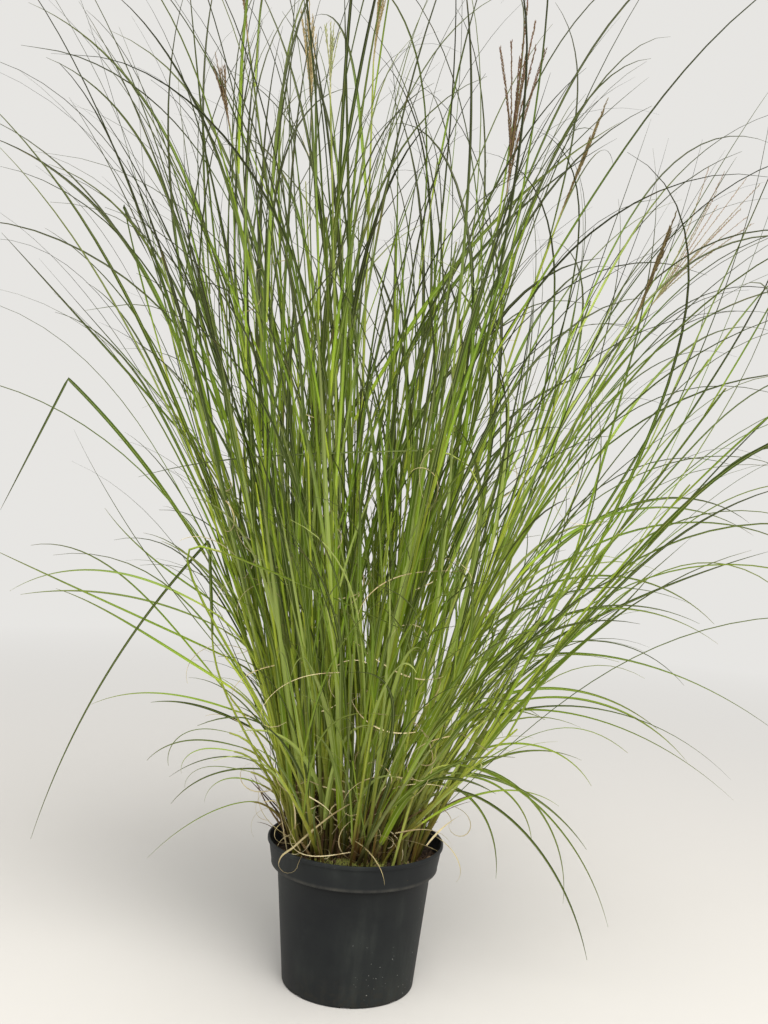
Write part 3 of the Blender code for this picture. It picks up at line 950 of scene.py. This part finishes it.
def blades_of(tiller, sheafs):
    """All the blades of one shoot: by turns to either side, longest in the middle of the culm."""
    for index in range(tiller.blades):
        part = index / (tiller.blades - 1)
        share = 0.15 + 0.79 * part**0.85
        at, heading = tiller.at(share)
        slim = DRAWS.random() < 0.42
        bearing = tiller.bearing + math.pi * (index % 2) + DRAWS.normal(0.0, 1.0 if slim else 0.45)
        out = np.array([math.cos(bearing), math.sin(bearing), 0.0])
        opening = math.radians(DRAWS.uniform(4.0, 20.0) if slim else DRAWS.uniform(3.0, 12.0))
        start_way = unit(heading + math.tan(opening) * out)
        length = tiller.length * DRAWS.uniform(0.75, 1.25) * (0.85 + 0.9 * part * (1.0 - part))
        droop = tiller.droop * DRAWS.uniform(0.3, 1.15)
        sway = DRAWS.normal(0.0, 0.12)
        power = DRAWS.uniform(1.1, 2.4)
        broad = (0.0009 + 0.0024 * DRAWS.random() ** 1.7) * (1.15 - 0.65 * part)
        width = 0.0009 + (0.0005 * DRAWS.random() if slim else broad)
        start = at + out * tiller.width_at(share) * 0.7
        for _ in range(30):
            path = arched(start, start_way, bearing, length, droop, power, sway)
            if (path > LOWEST).all() and (path < HIGHEST).all():
                break
            length *= 0.94
            droop *= 1.05
        sheaf = sheafs[int(DRAWS.integers(len(sheafs)))]
        # Painted shade: blades that leave their culm deep inside the clump get darker tints. Slim blades
        # are drawn dark too, partly their own tone and partly painted shade.
        tint = drawn_tint(dark=max(0.45 if slim else 0.0, 0.65 * shade_at(start)))
        add_blade(sheaf, path, width, tint, DRAWS.normal(0.0, 0.9), turned=DRAWS.normal(0.0, 0.6))


def arc_path(start, lean, length, bend, power, skew=0.0, count=26):
    """A bent line in an upright plane. Lean and bend are in degrees from straight up, to the right."""
    share = (np.arange(count - 1) + 0.5) / (count - 1)
    lean_here = np.radians(lean + bend * share**power)
    step = length / (count - 1)
    x = np.concatenate([[0.0], np.cumsum(np.sin(lean_here))]) * step
    z = np.concatenate([[0.0], np.cumsum(np.cos(lean_here))]) * step
    return np.array(start) + np.stack([x, skew * x, z], 1)


# Sets of blades that stand apart from the mass. For each: how many, the heights that they leave their
# sheaths between, how far to the right of the axis that is at those heights, then the least and the
# most of their lean there, of their length, of how far they bend over, of how much of that comes late,
# and of their half width in millimetres.
LOOSE_SETS = (
    (6, (0.22, 0.36), (-0.12, -0.16), (-60, -95), (0.12, 0.22), (-30, -70), (0.5, 2.0), (1.0, 1.8)),
    (4, (0.24, 0.34), (-0.13, -0.16), (-65, -95), (0.08, 0.14), (-80, -160), (1.5, 3.0), (0.8, 1.0)),
    (7, (0.36, 0.50), (-0.16, -0.20), (-40, -90), (0.20, 0.40), (-65, 30), (1.0, 4.0), (1.2, 1.8)),
    (6, (0.55, 0.90), (-0.19, -0.24), (-14, -24), (0.45, 0.55), (-40, -75), (1.2, 3.5), (2.0, 2.6)),
    (4, (0.60, 0.75), (-0.20, -0.28), (-25, -60), (0.28, 0.34), (-70, 10), (2.0, 5.0), (1.1, 1.6)),
    (9, (0.23, 0.32), (0.09, 0.12), (30, 78), (0.16, 0.28), (60, 120), (0.4, 1.5), (1.1, 2.1)),
    (8, (0.30, 0.42), (0.10, 0.16), (20, 50), (0.28, 0.42), (60, 115), (0.4, 1.2), (1.4, 1.9)),
    (4, (0.32, 0.44), (0.12, 0.20), (35, 75), (0.28, 0.38), (-30, 20), (1.0, 3.0), (1.4, 2.2)),
    (5, (0.44, 0.56), (0.14, 0.21), (32, 70), (0.30, 0.42), (50, 95), (0.7, 2.2), (1.5, 2.2)),
    (5, (0.72, 0.88), (-0.05, 0.10), (12, 30), (0.40, 0.55), (20, 40), (1.2, 1.6), (2.2, 3.0)),
)

# Single blades that show, given one by one: where each leaves its sheath (x, y, z), then its lean, its
# length, how far it bends, how much of that comes late, and its half width in millimetres.
CROSSING_BLADES = (
    (0.05, -0.10, 0.70, -95, 0.35, -15, 3.0, 1.3),
    (-0.17, -0.20, 0.57, 110, 0.33, 5, 1.0, 1.3),
)

# Three more that are broken over: the standing part, then the lean, length, bend and lateness of the
# part that hangs from the break.
BROKEN_BLADES = (
    ((-0.22, 0.00, 0.55, -35, 0.30, -15, 1.0, 2.3), (-155, 0.20, 0, 1.0)),
    ((-0.20, -0.03, 0.45, -5, 0.12, 0, 1.0, 2.2), (-140, 0.45, -25, 1.0)),
    ((-0.28, -0.05, 0.80, -20, 0.20, 5, 2.0, 2.6), (150, 0.08, 0, 1.0)),
)


def stem_to(path, count=14):
    """The slim stem under a loose blade, from the crown up to its sheath."""
    start = path[0]
    way = unit(path[1] - path[0])
    foot = np.array([*on_crown(0.42 * start[0], 0.75 * start[1]), SOIL_TOP - 0.004])
    rise = start[2] - foot[2]
    first = foot + np.array([0.25 * (start[0] - foot[0]), 0.0, 0.45 * rise])
    last = start - way * 0.35 * rise
    t = np.linspace(0.0, 1.0, count)[:, None]
    return (
        (1 - t) ** 3 * foot + 3 * (1 - t) ** 2 * t * first + 3 * (1 - t) * t**2 * last + t**3 * start
    )


def add_loose(stems, blades, placed, fallen=None):
    x, y, z, lean, length, bend, power, width = placed
    skew = DRAWS.normal(0.0, 0.25)
    path = arc_path((x, y, z), lean, length, bend, power, skew)
    stem = stem_to(path)
    tube(stems, stem, np.linspace(0.0019, 0.0012, len(stem)), corners=6, tint=drawn_tint())
    if fallen:
        tip_lean, tip_length, tip_bend, tip_power = fallen
        tip = arc_path(path[-1], tip_lean, tip_length, tip_bend, tip_power, 0.3 * skew)
        path = np.concatenate([path, tip[1:]])
    path = np.clip(path, LOWEST + 0.004, HIGHEST - 0.004)
    add_blade(
        blades, path, 1.15 * width / 1000, drawn_tint(dark=0.45 if fallen else 0.35),
        DRAWS.normal(0.0, 0.6), turned=DRAWS.choice([-1.0, 1.0]) * DRAWS.uniform(0.5, 1.2),
    )


def loose_blades(count, heights, aside, *ranges):
    """A set's blades: evenly up its heights, the rest of each drawn between the set's limits."""
    for index in range(count):
        part = (index + 0.5) / count
        x = aside[0] + (aside[1] - aside[0]) * part + DRAWS.normal(0.0, 0.008)
        z = heights[0] + (heights[1] - heights[0]) * part
        drawn = [least + (most - least) * DRAWS.random() for least, most in ranges]
        yield x, DRAWS.uniform(-0.09, 0.06), z, *drawn


def make_loose_blades(stem_finish, blade_finish):
    stems, blades = Sheaf(), Sheaf()
    for loose_set in LOOSE_SETS:
        for placed in loose_blades(*loose_set):
            add_loose(stems, blades, placed)
    for placed in CROSSING_BLADES:
        add_loose(stems, blades, placed)
    for placed, fallen in BROKEN_BLADES:
        add_loose(stems, blades, placed, fallen)
    finished(stems.mesh_object("culms_slim", 60), "culm", stem_finish)
    finished(blades.mesh_object("blades_loose", 30), "leaf_blade", blade_finish)


def make_framed_blades(finish):
    """The twenty-five long blades of the frame, drawn finer."""
    sheaf = Sheaf()
    nodes = [f"leaf_{index:02d}" for index in range(1, 26)]
    for node in nodes:
        path = smooth_path(ring_centres(node), 22)
        add_blade(sheaf, path, DRAWS.uniform(0.0018, 0.0028), drawn_tint(), DRAWS.normal(0.0, 0.6))
    return finished(sheaf.mesh_object("blades_long", 30), "leaf_blade", finish, *nodes)


def make_blades(tillers, finish):
    sheafs = [Sheaf() for _ in range(10)]
    for tiller in tillers:
        blades_of(tiller, sheafs)
    return [
        finished(sheaf.mesh_object(f"blades_{index + 1}", 30), "leaf_blade", finish)
        for index, sheaf in enumerate(sheafs)
    ]


# ---------------------------------------------------------------- flower heads
def along_line(path, spacing, first=0.0):
    """Places and headings at even steps along a line."""
    steps = np.linalg.norm(np.diff(path, axis=0), axis=1)
    run = np.concatenate([[0.0], np.cumsum(steps)])
    tangents = unit(np.gradient(path, axis=0))
    for goal in np.arange(first * run[-1] + spacing, run[-1], spacing):
        at = np.array([np.interp(goal, run, path[:, axis]) for axis in range(3)])
        way = np.array([np.interp(goal, run, tangents[:, axis]) for axis in range(3)])
        yield at, unit(way)


def add_spikelets(sheaf, path, spacing, husk, width, first=0.0):
    """Small husks that lie close along a thin branch, by turns on either side of it."""
    side = unit(DRAWS.normal(size=3))
    for at, way in along_line(path, spacing, first):
        side = -side
        out = unit(side + 0.4 * DRAWS.normal(size=3) - way * np.dot(side, way))
        heading = unit(way + 0.16 * out)
        line = at + np.outer(np.array([0.0, 0.4, 1.0]) * husk, heading) + 0.7 * width * out
        widths = np.array([0.3, 1.0, 0.1]) * width
        tube(sheaf, line, widths, 0.7 * widths, 4, drawn_tint())


# Each flower head: its finish, its branches, how far they part in degrees, how much of the axis they
# leave from, how far the shortest reaches, then the spacing, length and half width of its husks in
# millimetres.
FLOWER_HEADS = (
    ("brown", 9, 9.5, 0.30, 0.66, 2.4, 5.0, 0.75),
    ("tan", 14, 6.5, 0.50, 0.66, 2.2, 5.2, 0.85),
    ("pale", 10, 11.0, 0.40, 0.70, 2.8, 4.6, 0.70),
    ("tan", 13, 6.5, 0.45, 0.66, 2.2, 5.0, 0.80),
    ("brown", 7, 6.0, 0.40, 0.72, 2.8, 4.8, 0.70),
    ("red", 8, 11.0, 0.22, 0.70, 2.0, 5.2, 1.05),
    ("dark", 15, 1.8, 0.30, 0.52, 1.8, 5.4, 0.90),
    ("dark", 13, 2.0, 0.30, 0.50, 1.8, 5.4, 0.90),
    ("pink", 10, 13.0, 0.10, 0.72, 3.0, 4.4, 0.60),
)


def flower_head(number, finish, branches, parting, from_axis, shortest, spacing, husk, width):
    """Thin upright branches that leave a short axis and part a little, each set with husks."""
    rings = ring_centres(f"culm_{number:02d}")
    foot = rings[-1]
    node = f"panicle_{number}"
    corners = np.array([vertex.co for vertex in frame["nodes"][node].data.vertices])
    tip = corners[np.argmax(np.linalg.norm(corners - foot, axis=1))]
    length = np.linalg.norm(tip - foot)
    goal = (tip - foot) / length
    side = unit(np.cross(goal, (0.0, 1.0, 0.1)))
    other = np.cross(goal, side)
    sheaf = Sheaf()
    for index in range(branches):
        part = index / max(branches - 1, 1)
        leaves = from_axis * part
        reach = shortest + (0.98 - shortest) * DRAWS.random() ** 1.5 if index else 1.0
        turn = index * GOLDEN_ANGLE
        out = side * math.cos(turn) + 0.7 * other * math.sin(turn)
        spread = math.tan(math.radians(parting)) * DRAWS.uniform(0.35, 1.25) * (0.0 if index == 0 else 1.0)
        share = np.linspace(0.0, 1.0, 10)[:, None]
        size = length * (reach - leaves)
        bow = share**1.35
        path = foot + goal * length * leaves + size * (goal * share + out * spread * bow)
        tube(sheaf, path, np.linspace(0.00060, 0.00030, 10), None, 4, drawn_tint())
        add_spikelets(sheaf, path, spacing / 1000, husk / 1000, width / 1000, 0.04)
    axis = foot + np.outer(np.linspace(0.0, 1.0, 6) * from_axis * length, goal)
    tube(sheaf, axis, np.linspace(0.0011, 0.0006, 6), None, 6, drawn_tint())
    return finished(sheaf.mesh_object(f"flower_head_{number}"), "panicle", finish, node)


# The colours of a branch at its foot and its tip, and of its palest husks.
FLOWER_COLOURS = {
    "brown": ((0.13, 0.095, 0.03), (0.105, 0.052, 0.028), (0.20, 0.14, 0.07)),
    "tan": ((0.25, 0.22, 0.07), (0.23, 0.150, 0.060), (0.40, 0.32, 0.17)),
    "pale": ((0.22, 0.28, 0.07), (0.30, 0.31, 0.14), (0.38, 0.36, 0.20)),
    "red": ((0.15, 0.12, 0.03), (0.070, 0.026, 0.020), (0.15, 0.080, 0.050)),
    "dark": ((0.135, 0.110, 0.026), (0.050, 0.028, 0.018), (0.20, 0.150, 0.050)),
    "pink": ((0.26, 0.28, 0.09), (0.19, 0.115, 0.085), (0.27, 0.18, 0.14)),
}


def make_flower_heads():
    finishes = {
        name: panicle_material(f"flower_{name}", *colours) for name, colours in FLOWER_COLOURS.items()
    }
    for index, (finish, *sizes) in enumerate(FLOWER_HEADS):
        flower_head(index + 1, finishes[finish], *sizes)


# ---------------------------------------------------------------- dry straw
DRY_THREADS = 18

# Two long dry threads in front of the middle, given one by one: start (x, y, z), lean, length, bend,
# lateness, half width in millimetres.
LONG_THREADS = (
    (0.00, -0.10, 0.45, 120, 0.10, -60, 2.0, 1.0),
    (0.06, -0.10, 0.37, 120, 0.12, 120, 1.0, 1.1),
)

# The first straw goes on past the rim: it hangs in a half turn before the collar and comes back up.
LOOP_RADIUS = 0.012
LOOP_RISE = 0.012


def straw_loop(end):
    """The half turn that hangs from a straw's end, and the short piece that rises from it."""
    turn = np.linspace(math.radians(200), math.radians(360), 6)
    middle = end + (0.8 * LOOP_RADIUS, 0.003, -0.6 * LOOP_RADIUS)
    bend = middle + LOOP_RADIUS * np.stack([np.cos(turn), 0.0 * turn, np.sin(turn)], 1)
    return np.vstack([bend, bend[-1] + (0.4 * LOOP_RISE, 0.0, LOOP_RISE)])


def add_thread(sheaf, start, lean, length, bend, lateness, width, skew):
    path = arc_path(start, lean, length, bend, lateness, skew, 18)
    add_blade(
        sheaf, path, width / 1000, drawn_tint(1.0), DRAWS.normal(0.0, 1.5), fold=0.3,
        turned=DRAWS.uniform(-1.2, 1.2),
    )


def make_straw(tillers, finish, shaded_litter_finish):
    """The long loose straws, the dead sheaths and threads in the crown, and curled dry leaf tips. The dead
    sheaths are partly painted shade: their dark browns fill the gaps at the foot of the crown.
    """
    sheaf = Sheaf()
    nodes = [f"straw_{index}" for index in range(1, 4)]
    for node in nodes:
        centres = ring_centres(node)
        if node == nodes[0]:
            centres = np.vstack([centres[::-1], straw_loop(centres[0])])
        path = smooth_path(centres, 40)
        add_blade(sheaf, path, 0.0023, drawn_tint(1.0), 0.8, fold=0.2)
    for x, y, z, lean, length, bend, lateness, width in LONG_THREADS:
        add_thread(sheaf, (x, y, z), lean, length, bend, lateness, width, DRAWS.normal(0.0, 0.4))
    for _ in range(DRY_THREADS):
        start = (DRAWS.uniform(-0.08, 0.09), DRAWS.uniform(-0.09, -0.05), DRAWS.uniform(0.185, 0.28))
        add_thread(
            sheaf, start, DRAWS.uniform(-110.0, 130.0), DRAWS.uniform(0.04, 0.09),
            DRAWS.uniform(-120.0, 120.0), DRAWS.uniform(0.5, 3.0), DRAWS.uniform(0.7, 1.2),
            DRAWS.normal(0.0, 0.4),
        )
    finished(sheaf.mesh_object("straw", 30), "dry_straw", finish, *nodes)

    # Dead sheaths at the crown's foot: real litter, drawn in dark browns that also paint the shade in the
    # gaps between the culms.
    litter = Sheaf()
    for _ in range(300):
        out = CROWN_RADIUS * math.sqrt(DRAWS.random())
        bearing = math.tau * DRAWS.random()
        x, y = out * math.cos(bearing) - 0.008, 0.010 + 0.78 * out * math.sin(bearing)
        lean = 220.0 * x + DRAWS.normal(0.0, 16.0)
        bend = DRAWS.normal(0.0, 35.0)
        add_thread(
            litter, (x, y, SOIL_TOP - 0.002), lean, DRAWS.uniform(0.03, 0.14), bend, 2.0,
            DRAWS.uniform(0.5, 2.4), 1.2 * y / 0.1,
        )
    finished(litter.mesh_object("dead_sheaths", 30), "dry_straw", shaded_litter_finish)

    wisps = Sheaf()
    for index in range(170):
        low = index < 70
        tiller = tillers[int(DRAWS.integers(len(tillers)))]
        at, _ = tiller.at(DRAWS.uniform(0.02, 0.20) if low else DRAWS.uniform(0.20, 0.95))
        lean = DRAWS.choice([-1.0, 1.0]) * DRAWS.uniform(20.0, 120.0)
        bend = DRAWS.choice([-1.0, 1.0]) * DRAWS.uniform(60.0, 300.0)
        add_thread(
            wisps, at, lean, DRAWS.uniform(0.04, 0.13), bend, DRAWS.uniform(1.0, 3.0),
            DRAWS.uniform(0.35, 0.75), DRAWS.normal(0.0, 0.8),
        )
    finished(wisps.mesh_object("dry_wisps", 30), "dry_straw", finish)


# ---------------------------------------------------------------- stage, light and camera
BACKDROP = (1.0, 0.985, 0.955)
BACKDROP_STRENGTH = 0.80


def make_stage():
    """A pale round floor that fades into the pale light all round the clump."""
    made, tree, shader = node_material("stage_paper")
    shader.inputs["Base Color"].default_value = (0.52, 0.51, 0.495, 1.0)
    shader.inputs["Roughness"].default_value = 0.9
    shader.inputs["Specular IOR Level"].default_value = 0.0
    where, _ = object_place(tree)
    length = add(tree, "ShaderNodeVectorMath", operation="LENGTH")
    tree.links.new(where, length.inputs[0])
    edge = between(tree, length.outputs["Value"], 0.7, 3.2)
    glow = add(tree, "ShaderNodeEmission")
    glow.inputs["Color"].default_value = (*BACKDROP, 1.0)
    glow.inputs["Strength"].default_value = BACKDROP_STRENGTH
    blend = add(tree, "ShaderNodeMixShader")
    tree.links.new(edge, blend.inputs[0])
    tree.links.new(shader.outputs[0], blend.inputs[1])
    tree.links.new(glow.outputs[0], blend.inputs[2])
    tree.links.new(blend.outputs[0], tree.nodes["Material Output"].inputs["Surface"])
    deselect()
    bpy.ops.mesh.primitive_circle_add(vertices=96, radius=9.0, fill_type="NGON")
    floor = bpy.context.active_object
    floor.name = "floor"
    floor.data.materials.append(made)


def area_light(name, place, aim, size, power, colour):
    data = bpy.data.lights.new(name, "AREA")
    data.shape = "DISK"
    data.size = size
    data.energy = power
    data.color = colour
    lamp = bpy.data.objects.new(name, data)
    bpy.context.scene.collection.objects.link(lamp)
    lamp.location = place
    lamp.rotation_euler = (Vector(aim) - Vector(place)).to_track_quat("-Z", "Y").to_euler()
    return lamp


def make_lights():
    world = bpy.data.worlds.new("studio")
    bpy.context.scene.world = world
    world.use_nodes = True
    background = world.node_tree.nodes["Background"]
    background.inputs["Color"].default_value = (*BACKDROP, 1.0)
    background.inputs["Strength"].default_value = BACKDROP_STRENGTH
    area_light("key", (0.6, -1.9, 3.4), (0.0, 0.0, 0.6), 2.4, 200.0, (1.0, 0.97, 0.92))
    area_light("fill", (-2.6, -1.8, 1.6), (0.0, 0.0, 0.5), 2.2, 14.0, (0.95, 0.98, 1.0))


def make_camera():
    data = bpy.data.cameras.new("camera")
    data.lens = 40.0
    data.sensor_width = 36.0
    camera = bpy.data.objects.new("camera", data)
    bpy.context.scene.collection.objects.link(camera)
    camera.location = (0.011, -1.485, 0.669)
    camera.rotation_euler = (math.radians(90.0 - 1.9), 0.0, 0.0)
    camera.rotation_euler.rotate_axis("Z", math.radians(3.5))
    bpy.context.scene.camera = camera


# ---------------------------------------------------------------- the whole thing
def main():
    make_pot(plastic_material())
    make_compost(compost_material())
    make_crumbs(crumb_material())
    make_moss(moss_material())
    tillers = grown_tillers()
    culm = culm_material()
    make_culms(tillers, culm)
    blade = blade_material()
    make_framed_blades(blade)
    make_blades(tillers, blade)
    make_loose_blades(culm, blade)
    make_flower_heads()
    make_straw(
        tillers,
        straw_material("dry_straw", (0.38, 0.31, 0.15), (0.62, 0.54, 0.33), (0.27, 0.18, 0.075)),
        # Dead sheath colours: partly their own brown, and darkened as painted shade for the crown.
        straw_material("dead_sheath", (0.045, 0.020, 0.009), (0.20, 0.135, 0.055), (0.035, 0.017, 0.008)),
    )
    make_stage()
    make_lights()
    make_camera()
    bpy.context.scene.view_settings.view_transform = "Standard"


main()
